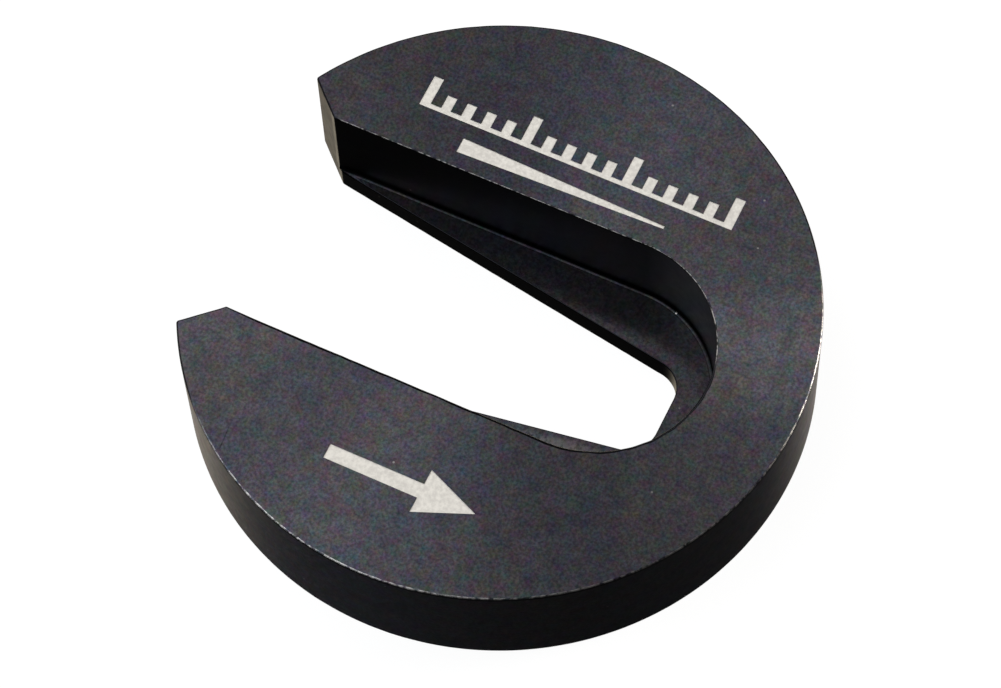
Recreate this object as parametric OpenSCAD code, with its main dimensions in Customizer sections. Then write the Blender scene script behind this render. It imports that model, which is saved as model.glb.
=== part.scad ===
// Case back opener: a round steel block with a stepped slot that a watch case is pushed into.
// An upper pocket with parallel walls and a round end clears the watch case. Below it a thin ledge
// is left, cut through by a tapered slot, whose two edges are the lips that part the case back.
// Frame: the origin is on the disc's axis at its underside, +Z is up and the mouth faces -X.
// All sizes are in millimetres.

/* [Disc] */
// Outside diameter of the disc
disc_d = 60; // [50:1:90]
// Height of the disc
thickness = 12; // [8:0.5:20]
// 45 degree break on the disc's upper and lower rims
rim_break = 0.2; // [0.1:0.05:0.6]

/* [Pocket] */
// Width between the pocket's parallel walls
pocket_w = 22.2; // [18:0.1:28]
// Steel left between the pocket's round end and the rim
end_wall = 9; // [6:0.5:14]
// Fillet where the pocket's wall meets the ledge
pocket_fillet = 0.4; // [0.2:0.1:1]
// 45 degree break along the pocket's upper edge
pocket_break = 0.15; // [0.05:0.05:0.5]

/* [Ledge and tapered slot] */
// Thickness of the ledge under the pocket
ledge_t = 2.5; // [1.5:0.25:5]
// Width of the ledge where the pocket's walls begin, at the mouth
mouth_ledge = 0.3; // [0.2:0.1:2]
// Width of the ledge at the pocket's round end
end_ledge = 4; // [2:0.5:6]
// Width of the tapered slot at its closed end
slot_end_w = 9; // [6:0.5:14]
// Radius of the tapered slot's two inside corners
slot_corner_r = 3; // [1:0.25:4]

/* [Mouth] */
// How far the lead-in bevels set the pocket's walls back from the rim
lead_in = 5.1; // [2:0.1:8]
// Angle of each lead-in bevel to the slot's centre line
lead_in_angle = 43; // [30:1:60]

/* [Hidden] */

// Fineness of the long arcs and of the small fillet
$fn = 180;
fillet_fn = 24;
// How far a cutter runs past the face that it opens
past = 1;

disc_r = disc_d / 2;
pocket_half = pocket_w / 2;

// Closed ends of the pocket and of the tapered slot, from the disc's axis
pocket_reach = disc_r - end_wall;
slot_reach = pocket_reach - end_ledge;
pocket_end_x = pocket_reach - pocket_half;

// Where the pocket's walls begin, inside the lead-in bevels
mouth_x = lead_in - sqrt(disc_r * disc_r - pocket_half * pocket_half);

// The slot's straight sides run from the mouth's ledge to its closed end
slot_mouth_half = pocket_half - mouth_ledge;
slot_end_half = slot_end_w / 2;
slot_taper = atan((slot_mouth_half - slot_end_half) / (slot_reach - mouth_x));

// A corner can't be rounder than the closed end leaves room for
slot_r = min(slot_corner_r, slot_end_half * cos(slot_taper) / (1 - sin(slot_taper)));
slot_corner_x = slot_reach - slot_r;
slot_corner_y = slot_end_half - slot_r * (1 - sin(slot_taper)) / cos(slot_taper);

// Half width of the tapered slot between its straight sides, at a distance x from the disc's axis
function slot_half(x) = slot_end_half + (slot_reach - x) * tan(slot_taper);

// The full disc, its rims broken at 45 degrees
module disc() {
    rotate_extrude()
        polygon([
            [0, 0],
            [disc_r - rim_break, 0],
            [disc_r, rim_break],
            [disc_r, thickness - rim_break],
            [disc_r - rim_break, thickness],
            [0, thickness]
        ]);
}

// Half of the pocket's cross-section, from its centre line out to the wall: the fillet at the
// ledge, the upright wall, and the break at the top, which runs out past the top face
module pocket_section() {
    translate([0, ledge_t])
        square([pocket_half - pocket_fillet, thickness - ledge_t + past]);
    translate([0, ledge_t + pocket_fillet])
        square([pocket_half, thickness - ledge_t - pocket_fillet + past]);
    translate([pocket_half - pocket_fillet, ledge_t + pocket_fillet])
        circle(pocket_fillet, $fn = fillet_fn);
    polygon([
        [0, thickness - pocket_break],
        [pocket_half, thickness - pocket_break],
        [pocket_half + pocket_break + past, thickness + past],
        [0, thickness + past]
    ]);
}

// The pocket: a straight run from past the rim, and a round end as wide as the run
module pocket() {
    for (side = [0, 1])
        mirror([0, side, 0])
            translate([-disc_r - past, 0, 0])
                rotate([90, 0, 90])
                    linear_extrude(pocket_end_x + disc_r + past)
                        pocket_section();
    translate([pocket_end_x, 0, 0])
        rotate_extrude()
            pocket_section();
}

// The tapered slot, cut right through the ledge and out past the rim
module tapered_slot() {
    outer_x = -disc_r - past;
    tangent_x = slot_corner_x + slot_r * sin(slot_taper);
    translate([0, 0, -past])
        linear_extrude(ledge_t + 2 * past) {
            polygon([
                [outer_x, -slot_half(outer_x)],
                [tangent_x, -slot_half(tangent_x)],
                [slot_corner_x, -slot_corner_y],
                [slot_reach, -slot_corner_y],
                [slot_reach, slot_corner_y],
                [slot_corner_x, slot_corner_y],
                [tangent_x, slot_half(tangent_x)],
                [outer_x, slot_half(outer_x)]
            ]);
            for (side = [-1, 1])
                translate([slot_corner_x, side * slot_corner_y])
                    circle(slot_r);
        }
}

// The wedge that bevels both arm tips over their full height, so that they lead a watch case into
// the mouth. Its two faces would meet on the slot's centre line.
module lead_in_wedge() {
    outer_x = -disc_r - past;
    outer_half = pocket_half + (mouth_x - outer_x) * tan(lead_in_angle);
    apex_x = mouth_x + pocket_half / tan(lead_in_angle);
    translate([0, 0, -past])
        linear_extrude(thickness + 2 * past)
            polygon([
                [apex_x, 0],
                [outer_x, outer_half],
                [outer_x, -outer_half]
            ]);
}

// The whole tool, one block of blackened steel
module opener_body() {
    color([0.22, 0.23, 0.26])
        difference() {
            disc();
            pocket();
            tapered_slot();
            lead_in_wedge();
        }
}

opener_body();
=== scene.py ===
"""Looks of the case back opener: one block of blackened steel with etched marks, on a pale floor."""

import math
from collections import namedtuple

import bpy
from mathutils import Matrix, Vector, noise
from mathutils.geometry import delaunay_2d_cdt


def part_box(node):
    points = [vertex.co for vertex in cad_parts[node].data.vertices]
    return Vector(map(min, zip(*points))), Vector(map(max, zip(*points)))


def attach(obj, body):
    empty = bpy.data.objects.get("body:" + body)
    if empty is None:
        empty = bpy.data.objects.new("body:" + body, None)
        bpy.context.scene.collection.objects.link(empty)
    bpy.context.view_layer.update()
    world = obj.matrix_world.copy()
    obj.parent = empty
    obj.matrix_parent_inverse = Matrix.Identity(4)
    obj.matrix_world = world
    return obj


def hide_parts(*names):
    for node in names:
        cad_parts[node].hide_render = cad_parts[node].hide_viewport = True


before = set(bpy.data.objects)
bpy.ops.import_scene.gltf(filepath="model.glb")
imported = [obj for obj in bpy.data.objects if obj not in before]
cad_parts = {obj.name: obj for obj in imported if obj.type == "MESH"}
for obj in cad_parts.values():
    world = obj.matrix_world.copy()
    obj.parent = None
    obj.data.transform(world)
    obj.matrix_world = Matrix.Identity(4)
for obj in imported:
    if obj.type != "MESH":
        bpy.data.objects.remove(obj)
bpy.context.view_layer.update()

# ---------------------------------------------------------------------------------------------
# Sizes, in millimetres. The disc comes from the frame; the rest repeats the CAD model's own sizes.
# ---------------------------------------------------------------------------------------------

MM = 0.001
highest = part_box("opener_body")[1]
DISC_R = highest.x / MM
THICKNESS = highest.z / MM

POCKET_HALF = 11.1
END_WALL = 9.0
POCKET_FILLET = 0.4
LEDGE_T = 2.5
MOUTH_LEDGE = 0.3
END_LEDGE = 4.0
SLOT_END_HALF = 4.5
SLOT_CORNER_R = 3.0
LEAD_IN = 5.1
LEAD_IN_ANGLE = math.radians(43)

# Small roundings that a finished block has on its edges. The pocket's near edge is the roundest, and
# comes to its full rounding over a short way in from the mouth.
RIM_ROUND = 0.18
POCKET_ROUND = 0.14
NEAR_POCKET_ROUND = 0.32
NEAR_ROUND_RUN = 3.0
BEVEL_ROUND = 0.18
LIP_ROUND = 0.12
FOOT_ROUND = 0.14
TIP_ROUND = 0.3
UPPER_CORNER_ROUND = 0.2
LOWER_CORNER_ROUND = 0.45
MARK_DEPTH = 0.04

# An edge's rounding swells and thins along it by this share, in waves of about a millimetre
ROUND_UNEVENNESS = 0.3
UNEVEN_WAVES_PER_MM = 0.9

# Finish of a face, which is also its material's place in the body's list
TURNED = 0
BEVELLED = 1
WALL = 2
LEDGE = 3
MARK = 4

# State of an edge: from painted dark (-1), a near-black line painted as shade where the rounding's
# reflection looks dark, through plain (0) to worn bright (1). The near ledge's positive states are
# painted light, not wear.
PAINTED_DARK_EDGE = -1.0
PLAIN_EDGE = 0.0
POCKET_EDGE = 0.42
RIM_EDGE = 1.0
FOOT_EDGE = 0.4

# The rim is worn between two angles round the disc, in degrees, each with the angle where it is full;
# outside them the rim's edge is painted dark, as shade.
RIM_WEAR_START = (-150, -115)
RIM_WEAR_END = (45, 20)
# Wear on the pocket's edge fades out over this angle before the slot's centre line, into an edge
# painted dark, as shade.
POCKET_WEAR_FADE = math.radians(18)
# The near ledge is painted lighter, as light falling on it, from nothing to full between two distances
# from the centre line
NEAR_LEDGE_PAINTED_LIGHT = 0.4
NEAR_LEDGE_PAINTED_LIGHT_Y = (8.5, 11)

# Worked out from the sizes above
POCKET_REACH = DISC_R - END_WALL
POCKET_END_X = POCKET_REACH - POCKET_HALF
SLOT_REACH = POCKET_REACH - END_LEDGE
MOUTH_X = LEAD_IN - math.sqrt(DISC_R ** 2 - POCKET_HALF ** 2)
SLOT_MOUTH_HALF = POCKET_HALF - MOUTH_LEDGE
SLOT_TAPER = math.atan((SLOT_MOUTH_HALF - SLOT_END_HALF) / (SLOT_REACH - MOUTH_X))
SLOT_CORNER = Vector((
    SLOT_REACH - SLOT_CORNER_R,
    SLOT_END_HALF - SLOT_CORNER_R * (1 - math.sin(SLOT_TAPER)) / math.cos(SLOT_TAPER),
))

# Fineness of the skin
RIM_STEP = math.radians(1.25)
END_STEP = math.radians(1.5)
WALL_STEP = 0.8
CORNER_SEGMENTS = 6
ROUND_SEGMENTS = 4
WALL_ROWS = 3
LEDGE_SHARES = (0.35, 0.7)
FACE_GRID = 2.4

# A wall's first row lies this many roundings away from its edge
CLEAR_OF_ROUND = 2.5
# The lip's rounding takes at most this share of the ledge's width
LIP_SHARE = 0.35

QUARTER_TURN = math.radians(90)
TOWARDS_SLOT = math.radians(270)


# ---------------------------------------------------------------------------------------------
# Plan of the block. A station is one upright line of the skin: its place in plan above the ledge
# and below it, the direction that points out of the steel at each, and how its top edge looks.
# ---------------------------------------------------------------------------------------------

Station = namedtuple("Station", "upper upper_out lower lower_out top_round edge finish")


def heading(angle):
    return Vector((math.cos(angle), math.sin(angle)))


def spread(first, last, count):
    """count + 1 evenly spaced values from first to last."""
    return [first + (last - first) * i / count for i in range(count + 1)]


def corner_centre(point_a, out_a, point_b, out_b, radius):
    """Centre of the arc that rounds the corner between two faces, each a point and its way out."""
    reach = Vector((out_a.dot(point_a) - radius, out_b.dot(point_b) - radius))
    return Matrix((out_a, out_b)).inverted() @ reach


# Ways out of the far half's bevel, pocket wall and lip, the points where the wall and the lip
# begin, and the centre of the pocket's round end
BEVEL_OUT = heading(TOWARDS_SLOT - LEAD_IN_ANGLE)
POCKET_OUT = heading(TOWARDS_SLOT)
SLOT_OUT = heading(TOWARDS_SLOT - SLOT_TAPER)
MOUTH_CORNER = Vector((MOUTH_X, POCKET_HALF))
SLOT_MOUTH = Vector((MOUTH_X, SLOT_MOUTH_HALF))
POCKET_END = Vector((POCKET_END_X, 0))


def tip_centre():
    """Centre of the arc that rounds the arm's outer corner, between the rim and the bevel."""
    inward = -TIP_ROUND * BEVEL_OUT + MOUTH_CORNER
    along = Vector((BEVEL_OUT.y, -BEVEL_OUT.x))
    half = inward.dot(along)
    rest = inward.length_squared - (DISC_R - TIP_ROUND) ** 2
    return inward + along * (-half + math.sqrt(half * half - rest))


def slot_edge(angle):
    """Where a ray from the centre of the pocket's round end meets the slot's edge, and the way out."""
    ray = heading(angle)
    side_end = SLOT_CORNER - SLOT_CORNER_R * SLOT_OUT - POCKET_END
    flat_end = SLOT_CORNER + Vector((SLOT_CORNER_R, 0)) - POCKET_END
    if angle > math.atan2(side_end.y, side_end.x):
        return POCKET_END + ray * SLOT_OUT.dot(side_end) / SLOT_OUT.dot(ray), SLOT_OUT
    if angle < math.atan2(flat_end.y, flat_end.x):
        return POCKET_END + ray * flat_end.x / ray.x, Vector((-1, 0))
    offset = POCKET_END - SLOT_CORNER
    half = offset.dot(ray)
    reach = -half + math.sqrt(half * half - offset.length_squared + SLOT_CORNER_R ** 2)
    point = POCKET_END + ray * reach
    return point, (SLOT_CORNER - point) / SLOT_CORNER_R


def held(value, low, high):
    """Share of the way from low to high, held at 0 and 1."""
    return min(max((value - low) / (high - low), 0.0), 1.0)


def between(start, end, share):
    return start + (end - start) * share


def rim_edge(point):
    """State of the rim's upper edge: worn from the near arm round to the closed end's far side,
    painted dark as shade elsewhere.
    """
    angle = math.degrees(math.atan2(point.y, point.x))
    worn = held(angle, *RIM_WEAR_START) * held(angle, *RIM_WEAR_END)
    return between(PAINTED_DARK_EDGE, RIM_EDGE, worn)


def same_station(point, out, *look):
    """A station whose place is the same above the ledge and below it."""
    return Station(point, out, point, out, *look)


def rim_stations(rim_end):
    """Along the rim, from the +X axis to the arm's tip."""
    for angle in spread(0, rim_end, math.ceil(rim_end / RIM_STEP)):
        out = heading(angle)
        point = out * DISC_R
        yield same_station(point, out, RIM_ROUND, rim_edge(point), TURNED)


def tip_stations(tip, rim_end, bevel_angle):
    """Round the arm's outer corner, from the rim to the bevel."""
    for angle in spread(rim_end, bevel_angle, CORNER_SEGMENTS)[1:]:
        out = heading(angle)
        # The corner's top edge is painted dark, as shade.
        yield same_station(tip + out * TIP_ROUND, out, BEVEL_ROUND, PAINTED_DARK_EDGE, BEVELLED)


def bevel_stations(bevel_start, upper_end, lower_end):
    """Along the lead-in bevel, between its two corners."""
    for share in spread(0, 1, CORNER_SEGMENTS)[1:-1]:
        upper = bevel_start.lerp(upper_end, share)
        lower = bevel_start.lerp(lower_end, share)
        # The bevel's top edge is painted dark, as shade.
        yield Station(upper, BEVEL_OUT, lower, BEVEL_OUT, BEVEL_ROUND, PAINTED_DARK_EDGE, BEVELLED)


def mouth_stations(upper_centre, lower_centre, bevel_angle):
    """Round the mouth's corner, from the bevel to the pocket's wall above and to the lip below."""
    upper_turns = spread(bevel_angle, TOWARDS_SLOT, CORNER_SEGMENTS)
    lower_turns = spread(bevel_angle, TOWARDS_SLOT - SLOT_TAPER, CORNER_SEGMENTS)
    for upper_turn, lower_turn in zip(upper_turns, lower_turns):
        upper_out = heading(upper_turn)
        lower_out = heading(lower_turn)
        upper = upper_centre + upper_out * UPPER_CORNER_ROUND
        lower = lower_centre + lower_out * LOWER_CORNER_ROUND
        # The mouth corner's top edge is painted dark, as shade.
        yield Station(upper, upper_out, lower, lower_out, POCKET_ROUND, PAINTED_DARK_EDGE, WALL)


def wall_stations(mouth):
    """Along the pocket's straight wall, from the mouth's last station to the round end."""
    upper_end = Vector((POCKET_END_X, POCKET_HALF))
    lower_end = slot_edge(QUARTER_TURN)[0]
    steps = math.ceil((POCKET_END_X - MOUTH_X) / WALL_STEP)
    for share in spread(0, 1, steps)[1:-1]:
        upper = mouth.upper.lerp(upper_end, share)
        lower = mouth.lower.lerp(lower_end, share)
        yield Station(upper, POCKET_OUT, lower, SLOT_OUT, POCKET_ROUND, POCKET_EDGE, WALL)


def end_stations():
    """Round the pocket's closed end, to the slot's centre line."""
    for angle in spread(QUARTER_TURN, 0, math.ceil(QUARTER_TURN / END_STEP)):
        ray = heading(angle)
        upper = POCKET_END + ray * POCKET_HALF
        lower, lower_out = slot_edge(angle)
        worn = held(angle, 0, POCKET_WEAR_FADE)
        # Near the centre line the edge is painted dark, as shade, instead of worn.
        edge = between(PAINTED_DARK_EDGE, POCKET_EDGE, worn)
        top_round = between(NEAR_POCKET_ROUND, POCKET_ROUND, worn)
        yield Station(upper, -ray, lower, lower_out, top_round, edge, WALL)


def far_half():
    """Stations of the far half: along the rim, round the tip, in along the pocket to its end."""
    tip = tip_centre()
    rim_end = math.atan2(tip.y, tip.x)
    bevel_angle = math.atan2(BEVEL_OUT.y, BEVEL_OUT.x) + math.tau
    upper_centre = corner_centre(
        MOUTH_CORNER, BEVEL_OUT, MOUTH_CORNER, POCKET_OUT, UPPER_CORNER_ROUND)
    lower_centre = corner_centre(
        MOUTH_CORNER, BEVEL_OUT, SLOT_MOUTH, SLOT_OUT, LOWER_CORNER_ROUND)

    stations = [*rim_stations(rim_end), *tip_stations(tip, rim_end, bevel_angle)]
    stations += bevel_stations(
        tip + BEVEL_OUT * TIP_ROUND,
        upper_centre + BEVEL_OUT * UPPER_CORNER_ROUND,
        lower_centre + BEVEL_OUT * LOWER_CORNER_ROUND,
    )
    stations += mouth_stations(upper_centre, lower_centre, bevel_angle)
    stations += wall_stations(stations[-1])
    stations += end_stations()
    return stations


def mirrored(station):
    """The same station on the near half, where every edge but the rim's is painted dark, as shade."""
    flipped = [Vector((v.x, -v.y)) for v in station[:4]]
    edge = rim_edge(flipped[0]) if station.finish == TURNED else PAINTED_DARK_EDGE
    top_round = station.top_round
    if station.finish == WALL:
        past_mouth = held(station.upper.x, MOUTH_X, MOUTH_X + NEAR_ROUND_RUN)
        top_round = between(top_round, NEAR_POCKET_ROUND, past_mouth)
    return Station(*flipped, top_round, edge, station.finish)


def whole_plan():
    """All stations, anticlockwise, starting where the rim crosses the +X axis."""
    half = far_half()
    return half + [mirrored(s) for s in reversed(half[1:-1])]


# ---------------------------------------------------------------------------------------------
# Skin of the block. Each station has one column of points from the top face to the underside.
# ---------------------------------------------------------------------------------------------

Point = namedtuple("Point", "place normal edge")
TURNS = spread(QUARTER_TURN, 0, ROUND_SEGMENTS)


def skin_point(plan, out, shift, z, tilt, edge=PLAIN_EDGE):
    """A point shifted along out from its plan place, whose normal is tilted up from out."""
    flat = plan + out * shift
    normal = Vector((out.x * math.cos(tilt), out.y * math.cos(tilt), math.sin(tilt)))
    return Point(Vector((flat.x, flat.y, z)), normal, edge)


def uneven(radius, plan):
    """An edge's rounding is never quite even: it swells and thins a little along the edge."""
    wave = noise.noise(Vector((plan.x, plan.y, radius)) * UNEVEN_WAVES_PER_MM)
    return radius * (1 + ROUND_UNEVENNESS * wave)


def upper_points(station):
    """The top edge's rounding, and the wall down to where its foot's fillet begins."""
    radius = uneven(station.top_round, station.upper)
    # The rounding's lowest row, where it meets the wall, is painted dark, as shade.
    edges = {QUARTER_TURN: PLAIN_EDGE, 0.0: PAINTED_DARK_EDGE}
    for tilt in TURNS:
        shift = -radius * (1 - math.cos(tilt))
        z = THICKNESS - radius * (1 - math.sin(tilt))
        edge = edges.get(tilt, station.edge)
        yield skin_point(station.upper, station.upper_out, shift, z, tilt, edge)
    below_round = THICKNESS - CLEAR_OF_ROUND * station.top_round
    for z in spread(below_round, LEDGE_T + POCKET_FILLET, WALL_ROWS)[:-1]:
        yield skin_point(station.upper, station.upper_out, 0, z, 0)


def ledge_points(station, fillet, lip, ledge_z, openness):
    """The fillet at the wall's foot, the ledge out to its lip, and the lip's rounding."""
    upper, upper_out, lower, lower_out = station[:4]
    for tilt in reversed(TURNS):
        shift = fillet * (1 - math.cos(tilt))
        z = LEDGE_T + POCKET_FILLET - POCKET_FILLET * math.sin(tilt)
        yield skin_point(upper, upper_out, shift, z, tilt * openness)

    ledge_start = upper + upper_out * fillet
    ledge_end = lower - lower_out * lip
    # Painted light: the near ledge gets bare steel, lighter than the far ledge, as light falls on it.
    near_ledge_light = NEAR_LEDGE_PAINTED_LIGHT * held(-upper.y, *NEAR_LEDGE_PAINTED_LIGHT_Y) * openness
    for share in LEDGE_SHARES:
        plan = ledge_start.lerp(ledge_end, share)
        z = between(LEDGE_T, ledge_z, share)
        yield skin_point(plan, lower_out, 0, z, QUARTER_TURN * openness, near_ledge_light)

    for tilt in TURNS:
        shift = -lip * (1 - math.cos(tilt))
        z = ledge_z - LIP_ROUND * (1 - math.sin(tilt))
        # The lip's edge is painted dark, as shade, where there is a ledge.
        edge = PLAIN_EDGE if tilt == QUARTER_TURN else PAINTED_DARK_EDGE * openness
        yield skin_point(lower, lower_out, shift, z, tilt * openness, edge)


def foot_points(station):
    """The lip's upright wall, and the underside's rounding."""
    lower, lower_out = station.lower, station.lower_out
    radius = uneven(FOOT_ROUND, lower)
    for z in (LEDGE_T - CLEAR_OF_ROUND * LIP_ROUND, CLEAR_OF_ROUND * FOOT_ROUND):
        yield skin_point(lower, lower_out, 0, z, 0)
    for tilt in spread(0, -QUARTER_TURN, ROUND_SEGMENTS):
        shift = -radius * (1 - math.cos(tilt))
        z = radius * (1 + math.sin(tilt))
        edge = PLAIN_EDGE if tilt == -QUARTER_TURN else FOOT_EDGE
        yield skin_point(lower, lower_out, shift, z, tilt, edge)


def column(station):
    """A station's points. Where it has no ledge, the fillet and the lip close up to a flat wall."""
    gap = max(station.upper_out.dot(station.lower - station.upper), 0.0)
    fillet = min(POCKET_FILLET, gap / 2)
    lip = min(LIP_ROUND, gap * LIP_SHARE)
    openness = fillet / POCKET_FILLET
    ledge_z = LEDGE_T - LIP_ROUND / 2 * (1 - openness)
    return [
        *upper_points(station),
        *ledge_points(station, fillet, lip, ledge_z, openness),
        *foot_points(station),
    ]


def on_top_face(point, margin):
    """Whether a plan point is on the block's top face, at least margin from the edges."""
    if point.length > DISC_R - margin:
        return False
    reach = POCKET_HALF + margin
    if abs(point.y) < reach and point.x < POCKET_END_X:
        return False
    if (point - POCKET_END).length < reach:
        return False
    side = Vector((point.x, abs(point.y)))
    return BEVEL_OUT.dot(side - MOUTH_CORNER) < -margin


def on_underside(point, margin):
    """Whether a plan point is on the underside, at least margin from the edges."""
    if point.length > DISC_R - margin:
        return False
    side = Vector((point.x, abs(point.y)))
    if point.x < SLOT_REACH + margin and SLOT_OUT.dot(side - SLOT_MOUTH) > -margin:
        return False
    return BEVEL_OUT.dot(side - MOUTH_CORNER) < -margin


def grid_points(inside, margin):
    """A triangular grid of plan points, so that a flat face has well-shaped triangles."""
    row_gap = FACE_GRID * math.sqrt(3) / 2
    rows = int(DISC_R / row_gap)
    across = int(DISC_R / FACE_GRID) + 1
    points = []
    for row in range(-rows, rows + 1):
        start = 0.5 * (row % 2)
        for step in range(-across, across + 1):
            point = Vector(((step + start) * FACE_GRID, row * row_gap))
            if inside(point, margin):
                points.append(point)
    return points


# ---------------------------------------------------------------------------------------------
# Etched marks: a ruled scale, a slim taper beside the slot and an arrow. No lettering.
# ---------------------------------------------------------------------------------------------

def scale_mark():
    """A ruled scale along the far arm: a base line with strokes, every fifth one long."""
    left, base, line, width, pitch = -16.1, 15.9, 0.5, 1.0, 2.1
    strokes, long_every, long, short = 16, 5, 3.4, 2.0
    right = left + pitch * (strokes - 1) + width
    outline = [Vector((left, base)), Vector((right, base))]
    for number in reversed(range(strokes)):
        x = left + pitch * number
        top = base + (long if number % long_every == 0 else short)
        outline += [Vector((x + width, top)), Vector((x, top))]
        if number:
            outline += [Vector((x, base + line)), Vector((x + width - pitch, base + line))]
    return outline


def taper_mark():
    """A long slim wedge that narrows as the slot does, towards the slot's closed end."""
    middle, half_length, wide_half, slim_half = 13.5, 10.6, 0.8, 0.15
    return [Vector(p) for p in (
        (-half_length, middle - wide_half), (half_length, middle - slim_half),
        (half_length, middle + slim_half), (-half_length, middle + wide_half),
    )]


def arrow_mark():
    """An arrow along the near arm, showing which way the watch is pushed in."""
    middle, shaft, head = -20.4, 0.75, 2.3
    tail_x, head_x, point_x = -7.6, 1.9, 7.4
    return [Vector(p) for p in (
        (tail_x, middle - shaft), (head_x, middle - shaft), (head_x, middle - head),
        (point_x, middle),
        (head_x, middle + head), (head_x, middle + shaft), (tail_x, middle + shaft),
    )]


MARKS = [scale_mark(), taper_mark(), arrow_mark()]


# ---------------------------------------------------------------------------------------------
# Mesh
# ---------------------------------------------------------------------------------------------

EDGE_ATTRIBUTE = "edge"
# How upright the normals of a quad inside the pocket are when it counts as ledge
LEVEL_ENOUGH = 0.99
# What delaunay_2d_cdt is asked for: the triangles inside the outlines. Then how near to each other
# two plan points are taken for one, and where the parts of its answer stand.
INSIDE_OUTLINES = 1
SAME_POINT = 1e-7
TRIANGLES, ORIGINAL_POINTS, ORIGINAL_LOOPS = 2, 3, 5


class Skin:
    """Points, which carry their normals and the state of their edge, and faces with their material."""

    def __init__(self):
        self.points = []
        self.faces = []
        self.materials = []

    def add_point(self, point):
        self.points.append(point)
        return len(self.points) - 1

    def add_face(self, corners, material):
        self.faces.append(corners)
        self.materials.append(material)


def add_walls(skin, stations, columns):
    """Quads all round the block, between each column and the next."""
    for i, here in enumerate(columns):
        following = (i + 1) % len(columns)
        after = columns[following]
        finish = max(stations[i].finish, stations[following].finish)
        for j in range(len(here) - 1):
            level = min(skin.points[here[k]].normal.z for k in (j, j + 1)) > LEVEL_ENOUGH
            on_ledge = finish == WALL and level
            ring = [here[j], here[j + 1], after[j + 1], after[j]]
            skin.add_face(ring, LEDGE if on_ledge else finish)


def add_flat_face(skin, rim, marks, inside, up):
    """The top face or the underside, inside the ring of vertices rim, with sunken marks."""
    z = skin.points[rim[0]].place.z
    normal = Vector((0, 0, up))

    def flat_point(plan, depth=0.0):
        place = Vector((plan.x, plan.y, z - up * depth))
        return skin.add_point(Point(place, normal, PLAIN_EDGE))

    plans = [skin.points[i].place.xy for i in rim]
    known = list(rim)
    loops = [list(range(len(rim)))]
    for outline in marks:
        loops.append(list(range(len(plans), len(plans) + len(outline))))
        plans += outline
        known += [flat_point(p) for p in outline]
    for point in grid_points(inside, FACE_GRID / 2):
        plans.append(point)
        known.append(flat_point(point))

    result = delaunay_2d_cdt(plans, [], loops, INSIDE_OUTLINES, SAME_POINT)
    vertex = [known[origins[0]] for origins in result[ORIGINAL_POINTS]]
    sunken = {}

    def sunk(i):
        if i not in sunken:
            sunken[i] = flat_point(skin.points[i].place.xy, MARK_DEPTH)
        return sunken[i]

    for corners, owners in zip(result[TRIANGLES], result[ORIGINAL_LOOPS]):
        ring = [vertex[c] for c in corners]
        in_mark = len(owners) > 1
        if in_mark:
            ring = [sunk(i) for i in ring]
        if up < 0:
            ring.reverse()
        skin.add_face(ring, MARK if in_mark else TURNED)
    for loop in loops[1:]:
        for a, b in zip(loop, loop[1:] + loop[:1]):
            a, b = known[a], known[b]
            skin.add_face([a, b, sunk(b), sunk(a)][::-1], MARK)


def body_mesh():
    skin = Skin()
    stations = whole_plan()
    columns = [[skin.add_point(p) for p in column(s)] for s in stations]
    add_walls(skin, stations, columns)
    add_flat_face(skin, [c[0] for c in columns], MARKS, on_top_face, 1)
    add_flat_face(skin, [c[-1] for c in columns], [], on_underside, -1)

    mesh = bpy.data.meshes.new("opener_body_skin")
    mesh.from_pydata([p.place * MM for p in skin.points], [], skin.faces)
    mesh.polygons.foreach_set("material_index", skin.materials)
    mesh.polygons.foreach_set("use_smooth", [True] * len(skin.faces))
    edges = mesh.attributes.new(EDGE_ATTRIBUTE, "FLOAT", "POINT")
    edges.data.foreach_set("value", [p.edge for p in skin.points])
    mesh.update()
    mesh.normals_split_custom_set_from_vertices([p.normal for p in skin.points])
    return mesh


# ---------------------------------------------------------------------------------------------
# Materials
# ---------------------------------------------------------------------------------------------

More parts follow.
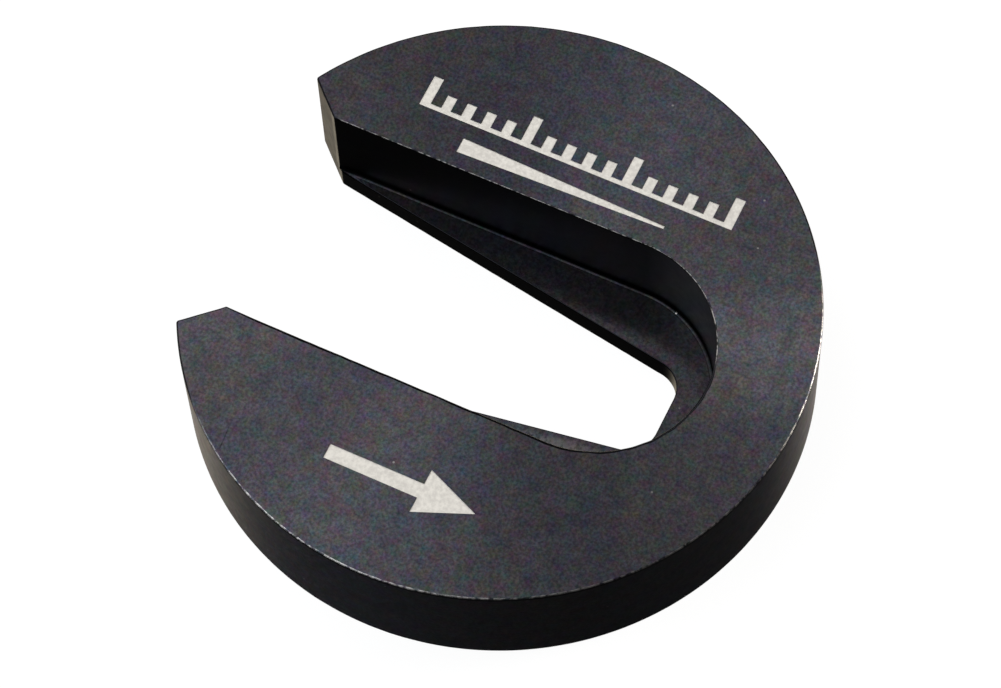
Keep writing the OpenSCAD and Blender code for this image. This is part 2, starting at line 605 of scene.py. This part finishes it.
class Nodes:
    """A short way to write a material's node tree."""

    def __init__(self, tree):
        self.tree = tree

    def add(self, kind, settings=(), **inputs):
        node = self.tree.nodes.new(kind)
        for name, value in dict(settings).items():
            setattr(node, name, value)
        for name, value in inputs.items():
            self.set(node.inputs[name.replace("_", " ")], value)
        return node

    def set(self, socket, value):
        if isinstance(value, bpy.types.NodeSocket):
            self.tree.links.new(value, socket)
        else:
            socket.default_value = value

    def math(self, operation, a, b=0.0, clamp=False):
        node = self.tree.nodes.new("ShaderNodeMath")
        node.operation = operation
        node.use_clamp = clamp
        self.set(node.inputs[0], a)
        self.set(node.inputs[1], b)
        return node.outputs[0]

    def mix(self, share, a, b, blend="MIX"):
        """A mix of two colours. A Mix node has its colours at inputs 6 and 7 and at output 2."""
        node = self.tree.nodes.new("ShaderNodeMix")
        node.data_type = "RGBA"
        node.blend_type = blend
        self.set(node.inputs[0], share)
        self.set(node.inputs[6], a)
        self.set(node.inputs[7], b)
        return node.outputs[2]

    def ramp(self, value, low, high, start=0.0, end=1.0):
        """value from low to high becomes start to end, held at both ends."""
        node = self.tree.nodes.new("ShaderNodeMapRange")
        node.interpolation_type = "SMOOTHSTEP"
        for i, v in enumerate((value, low, high, start, end)):
            self.set(node.inputs[i], v)
        return node.outputs[0]

    def noise(self, vector, size_mm, detail=2.0, roughness=0.5, seed=0.0, output="Fac"):
        """Noise whose features are about size_mm across; seed moves it to another place."""
        node = self.tree.nodes.new("ShaderNodeTexNoise")
        node.noise_dimensions = "4D"
        self.set(node.inputs["Vector"], vector)
        node.inputs["W"].default_value = seed
        node.inputs["Scale"].default_value = 1 / (size_mm * MM)
        node.inputs["Detail"].default_value = detail
        node.inputs["Roughness"].default_value = roughness
        return node.outputs[output]

    def scaled(self, vector, factor, offset=(0, 0, 0)):
        """A colour or vector times a factor, plus an offset."""
        node = self.tree.nodes.new("ShaderNodeVectorMath")
        node.operation = "MULTIPLY_ADD"
        self.set(node.inputs[0], vector)
        self.set(node.inputs[1], factor)
        self.set(node.inputs[2], offset)
        return node.outputs[0]


def new_material(name):
    material = bpy.data.materials.new(name)
    material.use_nodes = True
    material.node_tree.nodes.clear()
    return material, Nodes(material.node_tree)


def colour(red, green, blue):
    return (red, green, blue, 1.0)


STEEL_BLUE = colour(0.047, 0.047, 0.057)
STEEL_BROWN = colour(0.055, 0.051, 0.055)
BARE_STEEL = colour(0.42, 0.40, 0.38)
# Near-black colour, used both for edges painted dark as shade and for the scratch
SCRATCH_AND_PAINTED_DARK = colour(0.006, 0.006, 0.007)
PALE_SPECK = colour(0.20, 0.19, 0.18)
MARK_DARK = colour(0.37, 0.35, 0.32)
MARK_PALE = colour(0.47, 0.45, 0.41)

# How each finish reflects: its share of the steel's colour, its least and most roughness, and how much
# of the glare it keeps where it is seen at a low angle. The shares are painted light and shade on one
# steel: the bevel's and walls' smaller shares paint them darker, as shade, and the ledge's larger
# share paints it lighter, as light.
FINISHES = {
    TURNED: (1.0, 0.33, 0.39, 1.0),
    BEVELLED: (0.8, 0.3, 0.36, 0.45),
    WALL: (0.2, 0.28, 0.34, 0.64),
    LEDGE: (1.15, 0.14, 0.2, 0.5),
}
GROOVE_ANISOTROPY = 0.9
GROOVE_ROTATION = 0.25
MARK_ROUGHNESS = 0.6

# Each noise of a material: its features' size in mm, detail, roughness and place (seed)
CLOUDS = (9.0, 3.0, 0.55, 1.0)
PATCHES = (1.6, 3.0, 0.6, 2.0)
GRAIN = (0.3, 2.0, 0.6, 3.0)
HUES = (0.95, 3.0, 0.8, 4.0)
BROKEN_WEAR = (0.7, 3.0, 0.7, 7.0)
SMUDGES = (1.1, 3.0, 0.6, 9.0)
FINE_RELIEF = (0.25, 3.0, 0.6, 10.0)
MARK_GRAIN = (0.35, 2.0, 0.6, 11.0)
MARK_RELIEF = (0.2, 2.0, 0.6, 12.0)

# Noise stays mostly between these two values, and wear breaks up between the closer two
NOISE_SPAN = (0.3, 0.7)
WEAR_SPAN = (0.4, 0.6)

# How far the grain and the patches swing to each side of 1, and the whole span of each channel's hue
GRAIN_SWING = 0.32
PATCH_SWING = 0.1
HUE_SPREAD = (1.9, 1.6, 1.5)

# How far full wear covers the black, and the edge states between which the painted dark edge (painted
# shade) comes in
WEAR_COVER = 0.75
PAINTED_DARK_SPAN = (0.0, -0.25)

# Specks: the size of their cells in mm, their radius as a share of a cell, how far they cover, and
# the share of cells that stay without one
SPECK_CELL = 1.5
SPECK_RADIUS = (0.05, 0.09)
SPECK_COVER = 0.8
SPECK_RARITY = 0.9

# Height of the fine relief in mm, and its strength on steel and in the marks
RELIEF = 0.01
STEEL_BUMP = 0.35
MARK_BUMP = 0.4

# The scratch: where it starts and ends in plan, how black it is, its half width from full to none,
# and how far in from each end it takes to come to full strength, in millimetres
SCRATCH_START = (-16.55, -24.51)
SCRATCH_END = (-16.87, -21.32)
SCRATCH_DEPTH = 0.55
SCRATCH_WIDTH = (0.02, 0.09)
SCRATCH_RISE = 0.3
SCRATCH_FADE = 1.5


def mottled_steel(nodes, place, share):
    """Colour of the burnished steel: blue-grey with faint brown clouds and a many-hued fine grain."""
    cloud = nodes.ramp(nodes.noise(place, *CLOUDS), *NOISE_SPAN)
    patch = nodes.ramp(nodes.noise(place, *PATCHES), *NOISE_SPAN, 1 - PATCH_SWING, 1 + PATCH_SWING)
    darkest = (1 - GRAIN_SWING) * share
    palest = (1 + GRAIN_SWING) * share
    grain = nodes.ramp(nodes.noise(place, *GRAIN), *NOISE_SPAN, darkest, palest)
    hues = nodes.noise(place, *HUES, "Color")

    steel = nodes.mix(cloud, STEEL_BLUE, STEEL_BROWN)
    shade = nodes.math("MULTIPLY", grain, patch)
    hue = nodes.scaled(hues, HUE_SPREAD, [1 - span / 2 for span in HUE_SPREAD])
    return nodes.scaled(nodes.scaled(steel, hue), shade)


def with_specks(nodes, place, base):
    """A few pale specks of dust, each in a cell of its own."""
    cells = nodes.add("ShaderNodeTexVoronoi", Vector=place, Scale=1 / (SPECK_CELL * MM))
    near = nodes.ramp(cells.outputs["Distance"], *SPECK_RADIUS, 1.0, 0.0)
    chosen = nodes.add("ShaderNodeSeparateColor", Color=cells.outputs["Color"])
    few = nodes.math("GREATER_THAN", chosen.outputs[0], SPECK_RARITY)
    specks = nodes.math("MULTIPLY", near, few)
    return nodes.mix(nodes.math("MULTIPLY", specks, SPECK_COVER), base, PALE_SPECK)


def with_wear_and_painted_light_and_shade(nodes, place, base):
    """Bare steel where an edge is worn, in broken lines, and where the near ledge is painted lighter,
    as light; near-black paint where an edge is painted dark, as shade.
    """
    edge = nodes.add("ShaderNodeAttribute", {"attribute_name": EDGE_ATTRIBUTE}).outputs["Fac"]
    broken = nodes.ramp(nodes.noise(place, *BROKEN_WEAR), *WEAR_SPAN)
    # Bare steel for worn edges, and as painted light on the near ledge.
    worn = nodes.math("MULTIPLY", edge, broken, clamp=True)
    base = nodes.mix(nodes.math("MULTIPLY", worn, WEAR_COVER), base, BARE_STEEL)
    # Painted shade: edges whose state is below zero go near black.
    return nodes.mix(nodes.ramp(edge, *PAINTED_DARK_SPAN), base, SCRATCH_AND_PAINTED_DARK)


def scratch_mask(nodes, place):
    """A faint scratch on the near arm's top, strongest on its own line."""
    start = Vector((*SCRATCH_START, THICKNESS)) * MM
    run = Vector((*SCRATCH_END, THICKNESS)) * MM - start
    offset = nodes.add("ShaderNodeVectorMath", {"operation": "SUBTRACT"})
    nodes.set(offset.inputs[0], place)
    nodes.set(offset.inputs[1], start)

    def part_along(direction):
        dot = nodes.add("ShaderNodeVectorMath", {"operation": "DOT_PRODUCT"})
        nodes.set(dot.inputs[0], offset.outputs[0])
        nodes.set(dot.inputs[1], direction)
        return dot.outputs["Value"]

    along = part_along(run.normalized())
    aside = nodes.math("ABSOLUTE", part_along(Vector((-run.y, run.x, 0)).normalized()))
    full, none = [half_width * MM for half_width in SCRATCH_WIDTH]
    line = nodes.ramp(aside, full, none, SCRATCH_DEPTH, 0.0)
    started = nodes.ramp(along, 0.0, SCRATCH_RISE * MM)
    ended = nodes.ramp(along, run.length, run.length - SCRATCH_FADE * MM)
    return nodes.math("MULTIPLY", line, nodes.math("MULTIPLY", started, ended))


def steel_material(name, finish):
    """Blackened steel. Turned faces have fine grooves round the disc's axis; the rest are even."""
    share, smoothest, roughest, glare = FINISHES[finish]
    material, nodes = new_material(name)
    place = nodes.add("ShaderNodeTexCoord").outputs["Object"]
    # The share paints shade on the bevel and walls and light on the ledge.
    base = mottled_steel(nodes, place, share)
    base = with_specks(nodes, place, base)
    base = with_wear_and_painted_light_and_shade(nodes, place, base)
    base = nodes.mix(scratch_mask(nodes, place), base, SCRATCH_AND_PAINTED_DARK)

    roughness = nodes.ramp(nodes.noise(place, *SMUDGES), *NOISE_SPAN, smoothest, roughest)
    height = nodes.noise(place, *FINE_RELIEF)
    bump = nodes.add("ShaderNodeBump", Height=height, Strength=STEEL_BUMP, Distance=RELIEF * MM)
    shader = nodes.add("ShaderNodeBsdfPrincipled", Base_Color=base, Roughness=roughness,
                       Metallic=1.0, Normal=bump.outputs[0])
    shader.inputs["Specular Tint"].default_value = colour(glare, glare, glare)
    if finish == TURNED:
        grooves = nodes.add("ShaderNodeTangent", {"direction_type": "RADIAL", "axis": "Z"})
        nodes.set(shader.inputs["Tangent"], grooves.outputs[0])
        shader.inputs["Anisotropic"].default_value = GROOVE_ANISOTROPY
        shader.inputs["Anisotropic Rotation"].default_value = GROOVE_ROTATION
    nodes.add("ShaderNodeOutputMaterial", Surface=shader.outputs[0])
    return material


def mark_material():
    """Etched marks: the black layer is gone, and the frosted steel under it scatters the light."""
    material, nodes = new_material("etched_marks")
    place = nodes.add("ShaderNodeTexCoord").outputs["Object"]
    grain = nodes.ramp(nodes.noise(place, *MARK_GRAIN), *NOISE_SPAN)
    tone = nodes.mix(grain, MARK_DARK, MARK_PALE)
    height = nodes.noise(place, *MARK_RELIEF)
    bump = nodes.add("ShaderNodeBump", Height=height, Strength=MARK_BUMP, Distance=RELIEF * MM)
    shader = nodes.add("ShaderNodeBsdfPrincipled", Base_Color=tone, Roughness=MARK_ROUGHNESS,
                       Metallic=0.0, Normal=bump.outputs[0])
    nodes.add("ShaderNodeOutputMaterial", Surface=shader.outputs[0])
    return material


# ---------------------------------------------------------------------------------------------
# Studio: floor, soft light from all above, and the camera
# ---------------------------------------------------------------------------------------------

# The floor's side in metres, how much it glows and scatters, the faint light from all round, and the
# backdrop's brightness where the camera sees past the floor
FLOOR_SIZE = 4.0
FLOOR_GLOW = 0.93
FLOOR_PAPER = 0.08
AMBIENT = 0.05
BACKDROP = 0.97

# The floor's own glow as reflections see it: its colour, and how it comes in with the direction,
# from behind the object and from below the horizon
GLOW_COLOUR = (1, 0.88, 0.66)
BEHIND = (-0.6, 0.8, 0.0)
GLOW_BEHIND_SPAN = (0.1, 0.4)
GLOW_BELOW_SPAN = (-0.15, -0.4)

NO_LIGHT = colour(0, 0, 0)

# The soft lights: direction in plan and height in degrees, strength, tightness and tint
SOFT_LIGHTS = (
    (251.6, 23.8, 4.5, 6.0, (1.00, 1.00, 1.02)),
    (132.9, 22.4, 33.0, 52.0, (1.05, 1.00, 0.92)),
    (307.7, 62.6, 5.1, 16.4, (0.95, 1.00, 1.06)),
)


def add_floor():
    """A plain pale floor that glows a little, as a light table does, so shadows stay faint."""
    half = FLOOR_SIZE / 2
    mesh = bpy.data.meshes.new("floor")
    corners = [(-half, -half, 0), (half, -half, 0), (half, half, 0), (-half, half, 0)]
    mesh.from_pydata(corners, [], [(0, 1, 2, 3)])
    floor = bpy.data.objects.new("floor", mesh)
    bpy.context.scene.collection.objects.link(floor)
    material, nodes = new_material("floor_pale")
    paper = nodes.add("ShaderNodeBsdfDiffuse", Color=colour(*[FLOOR_PAPER] * 3))
    glow = nodes.add("ShaderNodeEmission", Color=colour(1, 1, 1), Strength=FLOOR_GLOW)
    seen = nodes.add("ShaderNodeAddShader")
    nodes.set(seen.inputs[0], paper.outputs[0])
    nodes.set(seen.inputs[1], glow.outputs[0])
    from_below = nodes.add("ShaderNodeNewGeometry").outputs["Backfacing"]
    clear = nodes.add("ShaderNodeBsdfTransparent")
    either = nodes.add("ShaderNodeMixShader")
    nodes.set(either.inputs[0], from_below)
    nodes.set(either.inputs[1], seen.outputs[0])
    nodes.set(either.inputs[2], clear.outputs[0])
    nodes.add("ShaderNodeOutputMaterial", Surface=either.outputs[0])
    mesh.materials.append(material)
    floor.visible_glossy = False


def pointing(azimuth, elevation):
    """Direction towards an azimuth and height in degrees. Azimuth 0 is -Y, and 90 is +X."""
    level = math.cos(math.radians(elevation))
    around = math.radians(azimuth)
    return Vector((math.sin(around) * level, -math.cos(around) * level,
                   math.sin(math.radians(elevation))))


def add_dome():
    """The world: faint light all round, three soft lights, and the pale floor's glow behind."""
    world = bpy.data.worlds.new("studio")
    bpy.context.scene.world = world
    world.use_nodes = True
    world.node_tree.nodes.clear()
    nodes = Nodes(world.node_tree)
    direction = nodes.add("ShaderNodeTexCoord").outputs["Generated"]

    def alignment(towards):
        dot = nodes.add("ShaderNodeVectorMath", {"operation": "DOT_PRODUCT"})
        nodes.set(dot.inputs[0], direction)
        nodes.set(dot.inputs[1], towards)
        return dot.outputs["Value"]

    light = colour(*[AMBIENT] * 3)
    for azimuth, elevation, strength, tightness, tint in SOFT_LIGHTS:
        off_axis = nodes.math("SUBTRACT", alignment(pointing(azimuth, elevation)), 1.0)
        falloff = nodes.math("EXPONENT", nodes.math("MULTIPLY", off_axis, tightness))
        full = colour(*[strength * t for t in tint])
        lit = nodes.mix(falloff, NO_LIGHT, full)
        light = nodes.mix(1.0, light, lit, "ADD")
    behind = nodes.ramp(alignment(Vector(BEHIND)), *GLOW_BEHIND_SPAN)
    below = nodes.ramp(alignment(Vector((0, 0, 1))), *GLOW_BELOW_SPAN)
    glow = nodes.mix(nodes.math("MULTIPLY", behind, below), NO_LIGHT, colour(*GLOW_COLOUR))
    light = nodes.mix(1.0, light, glow, "ADD")

    lighting = nodes.add("ShaderNodeBackground", Color=light)
    backdrop = nodes.add("ShaderNodeBackground", Color=colour(*[BACKDROP] * 3))
    seen = nodes.add("ShaderNodeMixShader")
    nodes.set(seen.inputs[0], nodes.add("ShaderNodeLightPath").outputs["Is Camera Ray"])
    nodes.set(seen.inputs[1], lighting.outputs[0])
    nodes.set(seen.inputs[2], backdrop.outputs[0])
    nodes.add("ShaderNodeOutputWorld", Surface=seen.outputs[0])


# Where the camera stands: its direction from the object in degrees, how it is turned, how far it is
# and what it looks at. Its lens and sensor are in millimetres, as Blender has them.
CAMERA_AZIMUTH = 28.266
CAMERA_ELEVATION = 63.065
CAMERA_ROLL = math.radians(-2.951)
CAMERA_DISTANCE = 372.8 * MM
CAMERA_TARGET = Vector((-0.711, 1.129, 0.676)) * MM
CAMERA_LENS = 140.58
SENSOR_WIDTH = 36.0
CLIP_START = 0.01


def add_camera():
    back = pointing(CAMERA_AZIMUTH, CAMERA_ELEVATION)
    right = Vector((0, 0, 1)).cross(back).normalized()
    up = back.cross(right)
    right, up = (
        right * math.cos(CAMERA_ROLL) + up * math.sin(CAMERA_ROLL),
        up * math.cos(CAMERA_ROLL) - right * math.sin(CAMERA_ROLL),
    )
    data = bpy.data.cameras.new("camera")
    data.sensor_width = SENSOR_WIDTH
    data.lens = CAMERA_LENS
    data.clip_start = CLIP_START
    camera = bpy.data.objects.new("camera", data)
    bpy.context.scene.collection.objects.link(camera)
    turn = Matrix((right, up, back)).transposed().to_4x4()
    camera.matrix_world = Matrix.Translation(CAMERA_TARGET + back * CAMERA_DISTANCE) @ turn
    bpy.context.scene.camera = camera


# ---------------------------------------------------------------------------------------------
# Putting it together
# ---------------------------------------------------------------------------------------------

body = bpy.data.objects.new("opener_body_skin", body_mesh())
bpy.context.scene.collection.objects.link(body)
for material_name, finish in (
    ("blackened_steel_turned", TURNED),
    ("blackened_steel_bevelled", BEVELLED),
    ("blackened_steel_wall", WALL),
    ("blackened_steel_ledge", LEDGE),
):
    body.data.materials.append(steel_material(material_name, finish))
body.data.materials.append(mark_material())
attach(body, "root")
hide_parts("opener_body")
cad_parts["opener_body"].data.materials.clear()
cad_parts["opener_body"].data.materials.append(body.data.materials[TURNED])

add_floor()
add_dome()
add_camera()
bpy.context.scene.view_settings.view_transform = "Standard"
